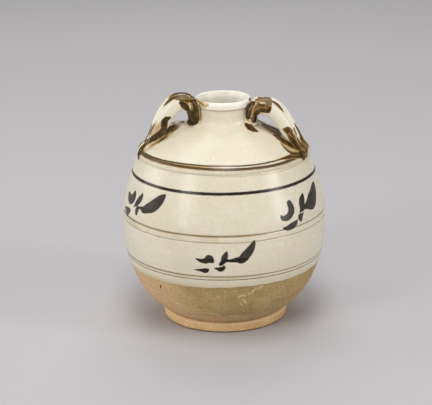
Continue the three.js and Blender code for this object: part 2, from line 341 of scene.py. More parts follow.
class Term:
    # a socket that takes part in sums
    def __init__(self, paint, socket):
        self.paint, self.socket = paint, socket

    def sum(self, operation, other, swapped=False):
        first, second = (other, self) if swapped else (self, other)
        return self.paint.node("Math", {"operation": operation}, {0: first, 1: second})

    def __add__(self, other):
        return self.sum("ADD", other)

    def __sub__(self, other):
        return self.sum("SUBTRACT", other)

    def __mul__(self, other):
        return self.sum("MULTIPLY", other)

    def __rsub__(self, other):
        return self.sum("SUBTRACT", other, swapped=True)

    __radd__ = __add__
    __rmul__ = __mul__

    def size(self):
        return self.sum("ABSOLUTE", 0.0)

    def ramp(self, low, high):
        # 0 at low, 1 at high, smooth between; low may be above high
        return self.paint.node("MapRange", {"interpolation_type": "SMOOTHSTEP"}, {
            "Value": self, "From Min": low, "From Max": high, "To Min": 0.0, "To Max": 1.0})


class Paint:
    # one material and its nodes; all its lengths are in mm
    def __init__(self, name):
        self.material = bpy.data.materials.new(name)
        self.material.use_nodes = True
        self.tree = self.material.node_tree
        self.tree.nodes.clear()
        spot = self.node("TexCoord", output="Object")
        self.where = self.node("VectorMath", {"operation": "SCALE"}, {0: spot, "Scale": 1 / mm})
        self.x, self.y, self.z = (self.node("SeparateXYZ", None, {0: self.where}, i) for i in range(3))

    def node(self, kind, settings=None, inputs=None, output=0):
        made = self.tree.nodes.new("ShaderNode" + kind)
        for key, setting in (settings or {}).items():
            setattr(made, key, setting)
        for key, given in (inputs or {}).items():
            if isinstance(given, Term):
                self.tree.links.new(given.socket, made.inputs[key])
            else:
                made.inputs[key].default_value = given
        return Term(self, made.outputs[output]) if made.outputs else None

    def outSquared(self):
        # square of the distance from the turning axis
        return self.x * self.x + self.y * self.y

    def stretched(self, x, y, z):
        return self.node("VectorMath", {"operation": "MULTIPLY"}, {0: self.where, 1: (x, y, z)})

    def noise(self, scale, detail=2.0, roughness=0.5, where=None):
        # lies round 0.5
        return self.node("TexNoise", None, {
            "Vector": where or self.where, "Scale": scale, "Detail": detail, "Roughness": roughness})

    def dots(self, spacing, radius, share):
        # small round spots in a share of the cells
        cells = {"Vector": self.where, "Scale": 1 / spacing, "Randomness": 1.0}
        near = self.node("TexVoronoi", None, cells, "Distance") * spacing
        chance = self.node("SeparateXYZ", None, {0: self.node("TexVoronoi", None, cells, "Color")})
        return near.ramp(radius, radius * 0.5) * chance.ramp(1 - share, 1 - share + 0.01)

    def attribute(self, name):
        return self.node("Attribute", {"attribute_name": name, "attribute_type": "GEOMETRY"}, None, "Fac")

    def mix(self, factor, first, second):
        return self.node("Mix", {"data_type": "RGBA"}, {0: factor, 6: first, 7: second}, 2)

    def over(self, colour, *coats):
        # coats laid over a colour in turn, each with its strength
        for strength, coat in coats:
            colour = self.mix(strength, colour, coat)
        return colour

    def finish(self, colour, roughness, height=None, depth=0.0, **uniform):
        inputs = {"Base Color": colour, "Roughness": roughness, **uniform}
        if height is not None:
            bump = {"Strength": 1.0, "Distance": depth * mm, "Height": height}
            inputs["Normal"] = self.node("Bump", None, bump)
        self.node("OutputMaterial", None, {"Surface": self.node("BsdfPrincipled", None, inputs)})
        return self.material


def rgb(red, green, blue):
    # a colour as a screen shows it, for a shader
    parts = [v / 255 for v in (red, green, blue)]
    return tuple(v / 12.92 if v <= 0.04045 else ((v + 0.055) / 1.055) ** 2.4 for v in parts) + (1.0,)


glaze = {
    "cream": rgb(228, 220, 198),
    "shade": rgb(217, 208, 180),
    "rosy": rgb(228, 209, 192),
    "thin": rgb(198, 178, 136),
    "white": rgb(246, 241, 228),
    # painted shade deep inside the mouth
    "mouthShade": rgb(176, 172, 148),
    "speck": rgb(128, 104, 72),
    "iron": rgb(50, 35, 14),
    "brush": rgb(16, 11, 6),
    "ironThin": rgb(76, 56, 28),
    "brown": rgb(98, 70, 26),
    "gold": rgb(182, 144, 78),
    "olive": rgb(160, 138, 86),
    "inkThin": rgb(108, 80, 32),
    "cordDark": rgb(62, 46, 22),
    "cordBrown": rgb(76, 54, 16),
    "amber": rgb(186, 156, 96),
    "roughness": 0.26,
    "gloss": 1.42,         # refractive index, and that of the handles
    "handleGloss": 1.38,
}

# inside of the mouth: squared radii where it begins, heights and strength of the duller glaze, a painted
# shade deeper down, and of the pale glaze, a painted light near the lip
mouth = {"begins": (365, 330), "mouthShade": (174.5, 170, 0.62), "pale": (170.6, 169.4, 0.9)}

# lines banded round the jar on the wheel, and a painted shadow line in the crease under the rolled lip:
# height, half width, softness, colour, strength
lines = {
    # a painted shadow in the crease under the rolled lip, not a banded line
    "shadowUnderLip": (170.2, 0.45, 0.6, rgb(150, 138, 100), 0.75),
    "black": (119.7, 1.1, 0.4, rgb(42, 31, 20), 1.0),
    "upperCutHigh": (89.1, 0.42, 0.5, rgb(118, 96, 58), 0.85),
    "upperCutLow": (84.1, 0.34, 0.45, rgb(130, 110, 72), 0.7),
    "lowerCutHigh": (56.8, 0.45, 0.5, rgb(132, 112, 66), 0.8),
    "lowerCutLow": (54.1, 0.4, 0.45, rgb(108, 86, 52), 0.85),
}

# the cut ones lie in grooves: depth, half width
grooves = {
    "upperCutHigh": (0.4, 0.5),
    "upperCutLow": (0.3, 0.45),
    "lowerCutHigh": (0.32, 0.5),
    "lowerCutLow": (0.38, 0.5),
}

# amber gathers between two of them: middle height, reach up and down, strength
cutStains = {"upperCutHigh": (86.8, 3.6, 0.7), "lowerCutHigh": (55.6, 2.6, 0.45)}

# the three lines by the shoulder cord wander: height at each bearing in degrees
cordLines = {
    "bearings": [-180, -120, -67, -47, -29, -14, 0, 19, 39, 55, 100, 180],
    "thin": [139.0, 138.9, 138.1, 138.6, 138.9, 138.9, 138.9, 138.5, 138.8, 139.4, 139.2, 139.0],
    "brown": [136.9, 137.0, 137.1, 137.4, 137.4, 137.2, 137.0, 136.8, 136.6, 136.9, 136.8, 136.9],
    "olive": [132.3, 132.4, 132.6, 132.6, 132.6, 132.6, 132.1, 131.6, 131.1, 131.6, 132.0, 132.3],
}

clay = {
    "bare": rgb(184, 157, 105),
    "grit": rgb(128, 106, 68),
    "white": rgb(240, 224, 188),
    "bareDark": rgb(159, 133, 87),
    "warm": rgb(222, 185, 141),
    "pale": rgb(228, 204, 158),
    "foot": rgb(232, 194, 141),
    "footDark": rgb(194, 154, 106),
    "soil": rgb(200, 148, 84),
    # soil and painted contact shadow at the foot's bottom edge
    "soilAndContactShade": rgb(92, 70, 46),
    "roughness": 0.85,
}


def creamCoat(paint):
    # cream slip under clear glaze, with its clouds, blushes, streaks and specks
    clouds = paint.noise(0.035, 3.0, 0.55).ramp(0.35, 0.7)
    blush = paint.noise(0.06, 2.0, 0.5, paint.stretched(1, 1, 1.6)).ramp(0.56, 0.75)
    rings = paint.noise(1.0, 2.0, 0.5, paint.stretched(0.02, 0.02, 0.42)).ramp(0.3, 0.75)
    mottle = paint.noise(0.5, 3.0, 0.6).ramp(0.5, 0.8)
    return paint.over(
        glaze["cream"],
        (clouds * 0.5, glaze["shade"]),
        (blush * 0.35, glaze["rosy"]),
        (rings * 0.3, glaze["shade"]),
        (mottle * 0.3, glaze["thin"]),
        (paint.dots(3.2, 0.4, 0.45) * 0.55, glaze["speck"]),
        (paint.dots(9.0, 0.6, 0.25) * 0.5, glaze["speck"]))


def outerFace(paint, height):
    # the outer face of the wall about this height, and not the inner
    radius = wallRadius(height) if height < wall["neckBase"] else wall["neck"]
    return paint.outSquared().ramp((radius - 3) ** 2, (radius - 2) ** 2)


def bandLines(paint, colour, names):
    waver = (paint.noise(0.02, 1.0) - 0.5) * 0.7
    grain = (paint.noise(0.35, 2.0, 0.6, paint.stretched(1, 1, 3)) - 0.5) * 0.6
    for name in names:
        height, half, soft, shade, strength = lines[name]
        off = (paint.z + waver - height).size() + grain
        mask = off.ramp(half + soft, half - soft) * outerFace(paint, height)
        colour = paint.mix(mask * strength, colour, shade)
    return colour


def cutStain(paint, colour, name):
    # amber gathered in and between two cut lines, most of all to the left
    middle, reach, strength = cutStains[name]
    patches = paint.noise(0.045, 2.0, 0.6).ramp(0.4, 0.58)
    left = paint.x.ramp(40, 10) * outerFace(paint, middle)
    between = (paint.z - middle).size().ramp(reach, reach * 0.55)
    fringe = (paint.z - lines[name][0]).size().ramp(1.5, 0.3)
    return paint.over(
        colour,
        (between * patches * left * (0.55 * strength), glaze["thin"]),
        (fringe * left * strength, glaze["olive"]))


def cordBands(paint, colour):
    # a thin dark line in the crease, a brown band running gold over the cord and a faint olive line under it
    waver = (paint.noise(0.25, 2.0, 0.6) - 0.5) * 0.35
    left = paint.x.ramp(8, -16)
    thin, brown, olive = (paint.attribute(name) + waver for name in ("thinLine", "brownLine", "oliveLine"))
    between = thin.ramp(0.2, -0.2) * brown.ramp(-0.2, 0.2)
    runs = paint.noise(1.1, 3.0, 0.7, paint.stretched(1, 1, 0.6)).ramp(0.38, 0.62)
    halo = brown.ramp(-3.2, -0.5) * brown.ramp(0.3, 0.0)
    specks = paint.noise(1.6, 2.0, 0.6).ramp(0.6, 0.72) * brown.ramp(-3.4, -1.0) * brown.ramp(0, -0.3)
    body = brown.ramp(-1.5, -0.7) * brown.ramp(0.8, 0.45)
    return paint.over(
        colour,
        (between * (left * 0.75 + 0.05), glaze["gold"]),
        (halo * (runs * 0.5 + 0.22), glaze["gold"]),
        (specks * 0.6, glaze["brown"]),
        (body * 0.95, glaze["cordBrown"]),
        (thin.size().ramp(0.62, 0.3) * 0.95, glaze["cordDark"]),
        (olive.size().ramp(0.75, 0.3) * (0.55 - left * 0.3), glaze["thin"]))


def brushWork(paint, colour, strength=0.96):
    # the brushed sprigs, and the mask that they fill
    edge = paint.attribute("brush") + (paint.noise(0.5, 2.0, 0.6) - 0.5) * 0.7
    mask = edge.ramp(0.35, -0.25)
    body = paint.noise(0.16, 3.0, 0.6).ramp(0.35, 0.75)
    iron = paint.mix(body * 0.3, glaze["brush"], glaze["ironThin"])
    return paint.mix(mask * strength, colour, iron), mask


def splashed(paint, colour):
    # iron run into the glaze: amber washes, thin golden edges, olive brown, then nearly black
    ragged = (paint.noise(0.4, 3.0, 0.6) - 0.5) * 1.1
    runs = paint.noise(0.45, 3.0, 0.7, paint.stretched(1, 1, 0.5))
    # iron and brown also carry painted shadow in the creases under the straps
    amber, wash, iron = (paint.attribute(kind) + ragged for kind in ("amber", "brown", "iron"))
    # line: dark runs in the grooves, with painted shade in them
    line = paint.attribute("line") + ragged * 0.2
    ink = paint.mix(runs.ramp(0.45, 0.66) * 0.85, glaze["iron"], glaze["inkThin"])
    return paint.over(
        colour,
        (amber.ramp(0.6, -0.9) * (runs.ramp(0.3, 0.6) * 0.4 + 0.5), glaze["amber"]),
        (wash.ramp(0.5, 0.0) * 0.85, glaze["gold"]),
        (wash.ramp(0.15, -0.4) * (runs.ramp(0.68, 0.5) * 0.35 + 0.6), glaze["brown"]),
        (wash.ramp(-0.2, -1.0) * runs.ramp(0.52, 0.38) * 0.8, glaze["iron"]),
        (iron.ramp(0.5, 0.0) * 0.85, glaze["gold"]),
        (iron.ramp(0.15, -0.3) * 0.96, glaze["brown"]),
        (iron.ramp(-0.1, -0.7) * 0.96, ink),
        (line.ramp(0.8, 0.0) * 0.5, glaze["gold"]),
        (line.ramp(0.25, -0.25) * 0.95, glaze["ironThin"]))


def glazeSkin(paint):
    # the faint orange-peel and throwing rings that the light shows
    rings = paint.noise(1.0, 2.0, 0.5, paint.stretched(0.03, 0.03, 0.5)) * 0.6
    return paint.noise(0.25, 2.0, 0.5) + rings


def jarGlaze(name, bands=(), sprigged=False, corded=False, pale=0.0):
    paint = Paint(name)
    colour = paint.mix(pale, creamCoat(paint), glaze["white"])
    if "upperCutHigh" in bands:
        colour = cutStain(paint, colour, "upperCutHigh")
    if "shadowUnderLip" in bands:
        # inside the mouth: painted shade deeper down and painted light near the lip
        inside = paint.outSquared().ramp(*mouth["begins"])
        for tone, key in (("mouthShade", "mouthShade"), ("pale", "white")):
            high, low, strength = mouth[tone]
            colour = paint.mix(inside * paint.z.ramp(high, low) * strength, colour, glaze[key])
    colour = bandLines(paint, colour, bands)
    if corded:
        colour = cordBands(paint, colour)
    colour = splashed(paint, colour)
    rough = paint.noise(0.08, 2.0) * 0.16 + (glaze["roughness"] - 0.08)
    if sprigged:
        colour, mask = brushWork(paint, colour)
        rough = rough + mask * 0.05
    return paint.finish(colour, rough, glazeSkin(paint), 0.05, IOR=glaze["gloss"])


def bareClay(paint):
    # gritty buff body: olive in front, warmer to the left and near the foot, with turning lines and scratches
    grain, grit = paint.noise(0.9, 4.0, 0.65), paint.noise(0.8, 2.0, 0.6)
    drift = (paint.noise(0.05, 3.0, 0.6) - 0.5) * 30
    turning = paint.noise(1.0, 3.0, 0.6, paint.stretched(0.03, 0.03, 0.8)).ramp(0.3, 0.75)
    left = paint.x * -1 - (paint.z - 20) * 0.8 - 16
    low = (paint.z * -1 + 17 + drift * 0.25).ramp(-4, 5)
    scuffs = paint.noise(0.12, 4.0, 0.7, paint.stretched(1, 1, 0.6)).ramp(0.62, 0.72)
    scratch = paint.attribute("scratch") + (grain - 0.5) * 2.4
    colour = paint.over(
        clay["bare"],
        (paint.noise(0.04, 3.0).ramp(0.35, 0.7), clay["bareDark"]),
        ((left + drift).ramp(-16, 20) * 0.8, clay["warm"]),
        (low * 0.5, clay["warm"]),
        (turning * 0.28, clay["bareDark"]),
        (grit.ramp(0.47, 0.32) * 0.6, clay["grit"]),
        (scuffs * 0.4, clay["pale"]),
        (grain.ramp(0.5, 0.68) * 0.55, clay["pale"]),
        (scratch.ramp(0.7, -0.4) * 0.5, clay["white"]),
        (paint.dots(4.0, 0.4, 0.3) * 0.5, glaze["speck"]))
    return colour, grain * 0.6 + turning * 0.5 + grit * 0.4


def lowerGlaze(name):
    # the lower bowl: glazed down to a wavy edge, bare below
    paint = Paint(name)
    fringe = (paint.noise(0.6, 3.0, 0.6) - 0.5) * 0.8
    above = paint.attribute("aboveGlazeEdge") + fringe
    coat = above.ramp(-0.25, 0.25)
    colour = cutStain(paint, creamCoat(paint), "lowerCutHigh")
    colour = bandLines(paint, colour, ("lowerCutHigh", "lowerCutLow"))
    colour = brushWork(paint, colour, 1.0)[0]
    thinned = above.ramp(6.0, 0.6) * (paint.x.ramp(-5, -50) * 0.5 + 0.25)
    colour = paint.mix(thinned, colour, glaze["thin"])
    clayColour, clayGrain = bareClay(paint)
    stain = above.ramp(-1.6, -0.2) * 0.4
    chip = (paint.attribute("nick") + fringe * 0.4).ramp(0.5, 0.1)
    colour = paint.over(clayColour, (stain, clay["bareDark"]), (coat, colour), (chip * 0.95, glaze["iron"]))
    rough = coat * (glaze["roughness"] - clay["roughness"]) + clay["roughness"]
    height = clayGrain * (1 - coat) + coat * paint.noise(0.25, 2.0) * 0.3
    return paint.finish(colour, rough, height, 0.16, IOR=glaze["gloss"])


def footClay(name):
    paint = Paint(name)
    grain, grit = paint.noise(0.9, 4.0, 0.65), paint.noise(0.55, 3.0, 0.65)
    drift = paint.noise(0.06, 3.0).ramp(0.35, 0.7)
    # painted highlight along the foot's upper edge, where the top light falls
    edge = (paint.z - 7.0).size().ramp(1.3, 0.4)
    chips = paint.noise(0.22, 3.0, 0.7).ramp(0.63, 0.68) * paint.z.ramp(5.5, 2.0)
    # towards the bottom: soil, and on the lowest millimetre soil and painted contact shadow together
    soil = paint.z + (grit - 0.5) * 1.6
    colour = paint.over(
        clay["foot"],
        (drift * 0.6, clay["footDark"]),
        (grit.ramp(0.5, 0.36) * 0.45, clay["footDark"]),
        (grit.ramp(0.54, 0.7) * 0.6, clay["pale"]),
        # the upper edge made paler: a painted highlight
        (edge * (grain.ramp(0.35, 0.6) * 0.5 + 0.3), clay["pale"]),
        (chips * 0.7, clay["white"]),
        (soil.ramp(4.6, 0.8) * 0.3, clay["soil"]),
        (soil.ramp(1.7, 0.8) * 0.85, clay["soilAndContactShade"]),
        (paint.dots(3.0, 0.42, 0.4) * 0.55, glaze["speck"]))
    return paint.finish(colour, clay["roughness"], grain + grit, 0.15)


def handleGlaze(name):
    paint = Paint(name)
    colour = splashed(paint, paint.mix(0.3, creamCoat(paint), glaze["white"]))
    rough = paint.noise(0.1, 2.0) * 0.12 + 0.12 + paint.attribute("brown").ramp(0.2, -0.5) * 0.12
    return paint.finish(colour, rough, paint.noise(0.3, 2.0), 0.06, IOR=glaze["handleGloss"])


def markCord(piece):
    # how far each place lies above the lines by the shoulder cord
    spots = places(piece)
    angle = np.degrees(bearing(spots))
    inside = np.hypot(spots[:, 0], spots[:, 1]) < wallRadius(spots[:, 2]) - 3
    for name in ("thin", "brown", "olive"):
        above = spots[:, 2] - hermite(cordLines["bearings"], cordLines[name], angle)
        mark(piece, name + "Line", np.where(inside, farAway, above))


# Scratches through the bare clay and one dark nick under the glaze edge, picked one by one: chains of pixels
# of the photo with half widths in pixels
scratches = [
    [(237.5, 297.6, 0.4), (240, 296.2, 0.8), (243.5, 295.4, 0.9), (246, 296.2, 0.4)],
    [(242.6, 299, 0.4), (245, 301.4, 0.9), (246.4, 304, 0.5)], [(240, 303, 0.3), (242, 305, 0.6)],
    [(251.6, 294, 0.4), (253.6, 290.6, 1.0), (256, 288, 0.6)],
    [(258.4, 288.8, 0.4), (260.6, 287.2, 0.8), (263, 285.6, 0.3)],
    [(248.4, 292.6, 0.3), (249.6, 294.6, 0.6)], [(234, 291, 0.3), (235.6, 291.4, 0.5)],
    [(228, 316, 0.3), (233, 316.4, 0.8), (238, 316, 0.4)],
    [(206, 312.4, 0.3), (212, 313.6, 0.8), (219, 314.6, 0.4)],
    [(170, 299, 0.3), (176, 302.6, 0.7), (183, 305.6, 0.4)],
]
nick = [(160.6, 285.4, 0.6), (160.9, 288.2, 0.5)]


bowl = {
    "fineFrom": 42,        # mm, points lie closer from here up, for the glaze edge and the grooves
    "step": 1.1,
    "fineStep": 0.42,
    "innerStep": 3.2,
    "innerEnd": 27,        # the inner wall follows the outer one down to here
    "floor": 13.5,
    "innerCurve": [(50, 17.5), (43, 13.9), (30, 13.6), (26, 13.5)],
    "edgeSoftness": 0.7,   # mm of height in which the glaze edge rises
}


def lowerBowl():
    base, seam, floor = wall["footTop"], wall["bellySeam"], bowl["floor"]
    cuts = [(lines[name][0], *grooves[name]) for name in ("lowerCutHigh", "lowerCutLow")]
    outline = straight((0, base), (46.0, base), 4)[:-1]
    outline += wallRun(base, bowl["fineFrom"], bowl["step"])[:-1]
    outline += wallRun(bowl["fineFrom"], seam, bowl["fineStep"], cuts)
    outline += [(wallRadius(seam) - wall["lowerThickness"], seam)]
    inner = innerRun(seam - 2, bowl["innerEnd"], wall["lowerThickness"], bowl["innerStep"])
    outline += inner + rounded([inner[-1], *bowl["innerCurve"]], 3)[1:]
    outline += straight((20, floor), (0, floor), 5)
    piece = throwPiece("lower_bowl", outline, wall["turns"])
    spots = places(piece)
    radius = np.hypot(spots[:, 0], spots[:, 1])
    outside = radius > wallRadius(np.clip(spots[:, 2], 8, 140)) - 1.5
    above = np.where(outside, spots[:, 2] - glazeHeight(bearing(spots)), farAway)
    rise, soft = glazeLine["thickness"], bowl["edgeSoftness"]
    coat = rise * np.clip((above + soft / 2) / soft, 0, 1) ** 0.7
    bare = np.where(outside & (spots[:, 2] > base + 0.5), rise - coat, 0)
    spots[:, :2] *= (1 - bare / np.maximum(radius, 1))[:, None]
    putBack(piece, spots)
    mark(piece, "aboveGlazeEdge", above)
    bpy.context.view_layer.update()
    cutMarks = [strokeDistance(spots, chainOn(chain, [piece])) for chain in (nick, *scratches)]
    mark(piece, "nick", cutMarks[0])
    mark(piece, "scratch", np.min(cutMarks[1:], axis=0))
    paintSprigs(piece)
    unevenWall(piece)
    finishPiece(piece, ["lower_body"], lowerGlaze("lowerBowlGlazeAndClay"))


belly = {"step": 0.5, "innerStep": 3.5, "bands": ("black", "upperCutHigh", "upperCutLow")}


def upperBowl():
    seam, top, thick = wall["bellySeam"], wall["ridgeBase"], wall["upperThickness"]
    cuts = [(lines[name][0], *grooves[name]) for name in belly["bands"][1:]]
    outer = wallRun(seam, top, belly["step"], cuts)
    inner = innerRun(top - 1.5, seam, thick, belly["innerStep"])
    upperEdge, lowerEdge = ([(wallRadius(height) - thick, height)] for height in (top, seam))
    outline = outer + upperEdge + inner[:-1] + lowerEdge + outer[:1]
    piece = throwPiece("upper_bowl", outline, wall["turns"])
    paintSprigs(piece)
    markCord(piece)
    unevenWall(piece)
    material = jarGlaze("upperBowlGlaze", belly["bands"], sprigged=True, corded=True)
    finishPiece(piece, ["upper_body"], material)
    glazed["jar"].append(piece)


# the raised cord: its section, out from the corner's radius and up from its base
cord = {
    "section": [(0, 0), (0.42, 0.7), (0.62, 1.6), (0.45, 2.5), (-0.1, 3.2), (-1.15, 3.8)],
    "top": 64.5,           # radius where the shoulder begins, outside and inside
    "innerTop": 56.4,
    "innerMiddle": (60.6, 2.6),
    "thickness": 4.6,
    "step": 0.25,
}


def shoulderCord():
    corner, base, top = float(wallRadius(wall["ridgeBase"])), wall["ridgeBase"], wall["ridgeTop"]
    section = [(corner + out, base + up) for out, up in cord["section"]]
    outer = rounded([*section, (cord["top"], top)], cord["step"])
    middle, up = cord["innerMiddle"]
    inner = [(cord["innerTop"], top), (middle, base + up), (corner - cord["thickness"], base)]
    piece = throwPiece("shoulder_cord", outer + inner + outer[:1], wall["turns"])
    markCord(piece)
    unevenWall(piece)
    finishPiece(piece, ["shoulder_ridge"], jarGlaze("shoulderCordGlaze", corded=True))
    glazed["jar"].append(piece)


# clay smeared over the shoulder beneath each handle
smears = {
    "left": {"turn": -6, "halfWidth": 18, "height": 4.4},
    "right": {"turn": 2, "halfWidth": 14, "height": 0.6},
    "rises": (26, 12),     # radius where it begins, and mm in which it rises
    "fades": (61, 10),     # radius where it ends, and mm in which it fades
    "above": 139.6,
}


# the shoulder's outline: a short crease above the cord, then the cone up to the neck, and the inside down
cone = {
    "crease": [(62.95, 139.0), (62.75, 139.25), (62.35, 139.5)],
    "outside": [(61.9, 139.85), (42, 149.1), (26.5, 155.8), (23.6, 157.0), (22.3, 157.7), (21.8, 158.2)],
    "inside": [(18.5, 154.2), (29, 149.9), (40, 145.6), (48, 141.7)],
    "creaseStep": 0.3,
    "step": 0.7,
}


def eased(share):
    return share ** 2 * (3 - 2 * share)


def shoulderCone():
    crease, base = cone["crease"], wall["ridgeTop"]
    outer = straight((cord["top"], base), crease[0], cone["creaseStep"])[:-1] + crease[1:]
    outer += rounded(cone["outside"], cone["step"])
    inner = [(wall["bore"], wall["neckBase"]), *cone["inside"], (cord["innerTop"], base)]
    piece = throwPiece("shoulder_cone", outer + inner + outer[:1], wall["turns"])
    spots = places(piece)
    radius = np.hypot(spots[:, 0], spots[:, 1])
    for side, flip in (("left", -1), ("right", 1)):
        smear = smears[side]
        turn = np.arctan2(-spots[:, 1], spots[:, 0] * flip) - math.radians(smear["turn"])
        across = np.clip(1 - np.abs(np.sin(turn) * radius) / smear["halfWidth"], 0, 1) * (np.cos(turn) > 0)
        (start, rise), (end, fade) = smears["rises"], smears["fades"]
        down = np.clip((radius - start) / rise, 0, 1) * np.clip((end - radius) / fade, 0, 1)
        spots[:, 2] += smear["height"] * (spots[:, 2] > smears["above"]) * eased(across) * eased(down)
    putBack(piece, spots)
    markCord(piece)
    unevenWall(piece, 22)
    finishPiece(piece, ["shoulder"], jarGlaze("shoulderGlaze", corded=True))
    glazed["jar"].append(piece)


# the collar's outside: radius, height above its base
collar = {
    "outside": [(21.8, 0), (20.95, 1.8), (20.65, 5), (20.75, 9.0), (20.6, 10.7), (20.7, 11.6)],
    "step": 0.4,
    "pale": 0.15,          # share of white in its glaze
}


def neckCollar():
    base, top, bore = wall["neckBase"], wall["lipBase"], wall["bore"]
    outer = rounded([(out, base + up) for out, up in collar["outside"]], collar["step"])
    outline = outer + straight((bore, top), (bore, base), 1.5) + outer[:1]
    piece = throwPiece("neck_collar", outline, wall["neckTurns"])
    finishPiece(piece, ["neck"], jarGlaze("neckGlaze", ("shadowUnderLip",), pale=collar["pale"]))
    glazed["jar"].append(piece)


# the rim's section: radius, height above its base
rim = {
    "section": [(20.5, 0), (21.4, 0.1), (21.9, 0.9), (22.1, 2.6), (21.95, 4.4), (21.3, 5.6), (20.4, 6.2),
                (19.6, 5.85), (19.15, 4.8), (18.5, 2.6), (17.7, 1.0), (17.3, 0)],
    "step": 0.3,
    # white mixed into the rim's glaze: painted light on the rolled lip
    "pale": 0.85,
}


def rolledRim():
    outline = rounded([(out, wall["lipBase"] + up) for out, up in rim["section"]], rim["step"])
    piece = throwPiece("rolled_rim", outline + outline[:1], wall["neckTurns"])
    finishPiece(piece, ["rolled_lip"], jarGlaze("rimGlaze", ("shadowUnderLip",), pale=rim["pale"]))
    glazed["jar"].append(piece)


# the foot's outline: recess, inner bevel, resting ring, outer edge and the step up to the bowl
foot = {
    "recess": (35.2, 4.2),
    "bevel": [(36.6, 4.0), (37.6, 3.2), (38.3, 1.4), (38.9, 0.25)],
    "ring": [(39.3, 0), (47.6, 0)],
    "outside": [(48.3, 0.25), (48.75, 0.9), (48.9, 2.5), (49.05, 6.4)],
    "step": [(48.85, 7.1), (48.2, 7.75), (47.2, 8.1), (46.3, 8.0)],
}


def turnedFoot():
    radius, recess = foot["recess"]
    outline = straight((0, recess), (radius, recess), 4) + rounded(foot["bevel"], 0.5)
    outline += straight(*foot["ring"], 1.5) + rounded(foot["outside"], 0.4) + foot["step"]
    outline += straight((42, wall["footTop"]), (0, wall["footTop"]), 6)
    piece = throwPiece("turned_foot", outline, wall["footTurns"])
    finishPiece(piece, ["foot_ring"], footClay("footClay"))


# The strap's middle line, row by row: radius, height, thickness, strand pitch, turn to the front.
# The first and last rows run on into the wad and the tongue, where the strands sink in.
leftHandle = {
    "strap": [
        [23.6, 156.0, 7.0, 7.3, 11], [23.6, 159.0, 7.2, 7.4, 11], [24.2, 164.8, 7.6, 7.3, 11.5],
        [25.8, 171.5, 11.0, 7.1, 11.5], [31.4, 174.4, 10.8, 7.0, 10], [37.2, 172.9, 11.0, 7.0, 9],
        [42.6, 168.0, 10.6, 6.8, 9], [47.2, 160.9, 10.6, 6.4, 9], [51.0, 152.8, 10.2, 5.6, 9],
        [55.2, 145.6, 8.2, 4.4, 9], [60.0, 141.0, 5.0, 3.5, 9.5], [63.6, 138.3, 4.4, 2.9, 10.3],
        [65.8, 135.4, 3.6, 2.3, 11], [66.6, 132.6, 1.8, 1.6, 11.4],
    ],
    "wadTurn": 11,
    "tongueTurn": 9,
    "tongueDrift": 2,      # degrees that the tongue turns on its way down
}
rightHandle = {
    "strap": [
        [23.6, 155.4, 6.6, 7.3, 14.5], [23.5, 158.6, 6.8, 7.4, 14.5], [24.0, 164.0, 7.2, 7.3, 14],
        [25.9, 169.4, 11.4, 7.1, 13.5], [32.0, 170.4, 10.4, 7.0, 13], [37.6, 169.4, 11.0, 7.0, 13],
        [43.2, 165.6, 10.8, 6.8, 13], [48.6, 158.8, 10.4, 6.5, 13.4], [53.0, 151.6, 9.8, 6.2, 14],
        [57.2, 145.4, 8.4, 6.0, 14.4], [61.0, 141.2, 6.6, 5.8, 15.4], [64.0, 138.4, 5.4, 5.3, 17],
        [66.0, 135.3, 4.0, 4.4, 19], [66.7, 132.2, 1.8, 3.0, 21],
    ],
    "wadTurn": 14.5,
    "tongueTurn": 14.4,
    "tongueDrift": 7,
}

# The smeared end under the strands: radius, height, thickness, width
tongue = [
    [46.5, 148.4, 1.6, 9.0], [49.5, 147.4, 4.2, 13.0], [53.0, 145.6, 4.8, 14.0], [57.0, 143.0, 4.0, 13.0],
    [61.0, 140.0, 3.6, 11.6], [63.8, 138.0, 3.4, 10.4], [65.6, 135.6, 2.6, 8.6], [66.5, 133.0, 1.8, 6.0],
    [66.6, 131.2, 1.2, 3.6],
]

# the lump of clay that the strands spring from
wad = {"radius": 23.6, "height": 157.0, "reach": 5.0, "rise": 2.2, "halfSpan": 26, "blunt": 0.03}

# how strands, wads and tongues are drawn out
drawing = {
    "strandRings": 34,
    "endRings": 13,        # rings of a wad or tongue
    "sides": 16,
    "fuller": 1.03,        # smoothing takes this much off a section
    "overlap": 0.35,       # mm that neighbouring strands sink into each other
    "wander": 0.3,         # mm by which a strand's thickness changes
}


def rowAt(rows, t):
    # the row at t, from 0 to 1, and the way the middle line runs there
    rows = np.asarray(rows, float)
    knots = np.linspace(0, 1, len(rows))
    row = np.array([hermite(knots, column, t) for column in rows.T])
    ahead, behind = (np.array([hermite(knots, rows[:, i], at) for i in (0, 1)])
                     for at in (min(t + 0.004, 1), max(t - 0.004, 0)))
    return row, (ahead - behind) / np.linalg.norm(ahead - behind)


def around(radius, height, angle):
    return np.array([radius * math.cos(angle), -radius * math.sin(angle), height])


def ovalRing(middle, run, thick, wide, angle):
    # an oval section across the middle line, with its sides counted in drawing
    ring = []
    for turn in np.linspace(0, 2 * math.pi, drawing["sides"], endpoint=False):
        out, lateral = thick / 2 * math.cos(turn), wide / 2 * math.sin(turn)
        spot = around(middle[0] - out * run[1], middle[1] + out * run[0], angle)
        ring.append(spot + lateral * np.array([-math.sin(angle), -math.cos(angle), 0]))
    return np.array(ring)


def roundedEnds(rings):
    # smaller copies of the end rings, so that smoothing rounds the ends
    starts = [rings[0].mean(0) + (rings[0] - rings[0].mean(0)) * k for k in (0.45, 0.85)]
    ends = [rings[-1].mean(0) + (rings[-1] - rings[-1].mean(0)) * k for k in (0.85, 0.45)]
    return [*starts, *rings, *ends]


